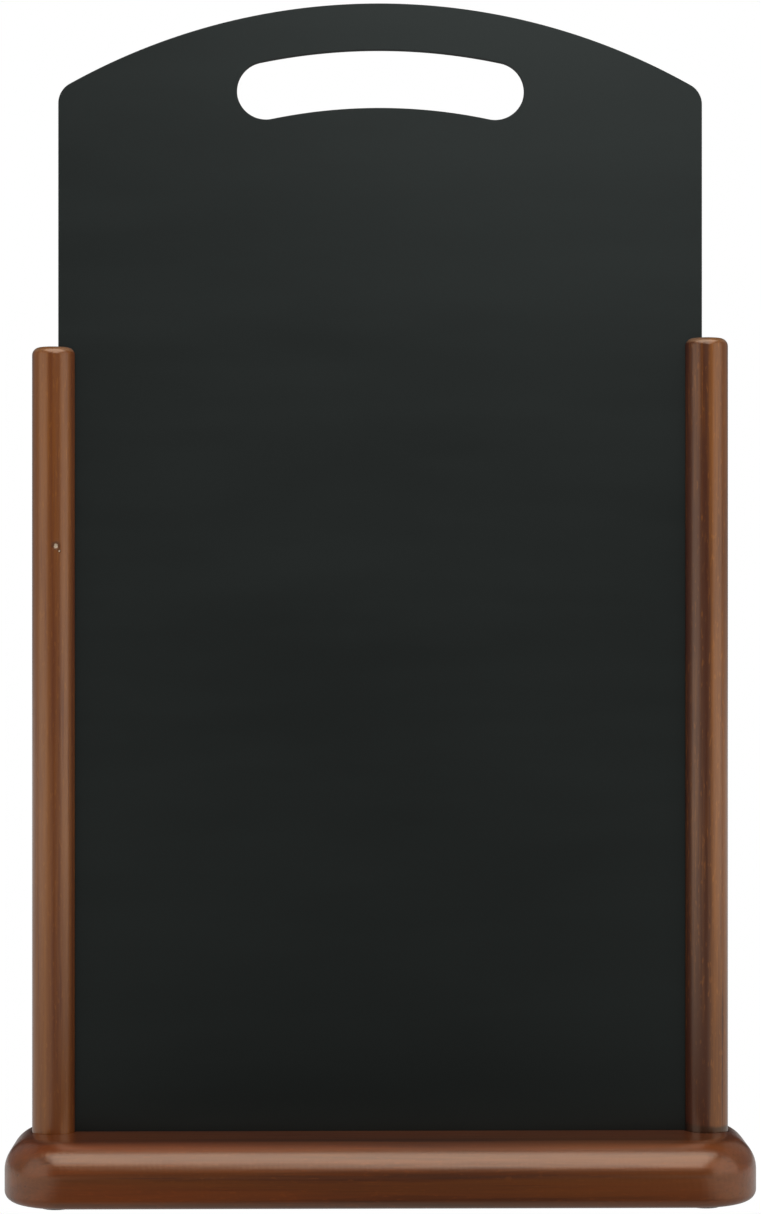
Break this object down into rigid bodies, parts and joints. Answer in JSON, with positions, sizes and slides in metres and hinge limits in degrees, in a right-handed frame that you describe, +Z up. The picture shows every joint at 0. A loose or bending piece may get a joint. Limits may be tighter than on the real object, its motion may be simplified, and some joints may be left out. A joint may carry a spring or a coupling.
{
  "type": "table-top chalkboard stand",
  "caption": "Table-top chalkboard: a black arched panel with a hand slot slides down between grooved round wooden posts into a rounded wooden base.",
  "frame": {"origin": "centre of the footprint, on the surface that the stand rests on", "axes": "+Z up, +X to the right along the base, -Y towards the viewer of the front face"},
  "size_m": [0.3, 0.072, 0.4803],
  "materials": {
    "base_wood": "walnut-brown stain under a satin varnish",
    "post_wood": "walnut-brown stain under a satin varnish",
    "writing_face": "matt black writing laminate",
    "board_core": "through-dyed black fibreboard with sealed edges",
    "screw_steel": "zinc-plated",
    "foot_rubber": "matt foam rubber"
  },
  "bodies": {
    "stand": {"base": "base_wood", "left_post": "post_wood", "right_post": "post_wood", "left_post_screw": "screw_steel", "right_post_screw": "screw_steel", "front_left_foot": "foot_rubber", "front_right_foot": "foot_rubber", "rear_left_foot": "foot_rubber", "rear_right_foot": "foot_rubber"},
    "panel": {"panel_core": "board_core", "panel_front_face": "writing_face", "panel_rear_face": "writing_face"}
  },
  "joints": [
    {"name": "panel_lift", "type": "slide", "parent": "stand", "child": "panel", "axis": [0, 0, 1], "range_m": [0, 0.315]}
  ]
}
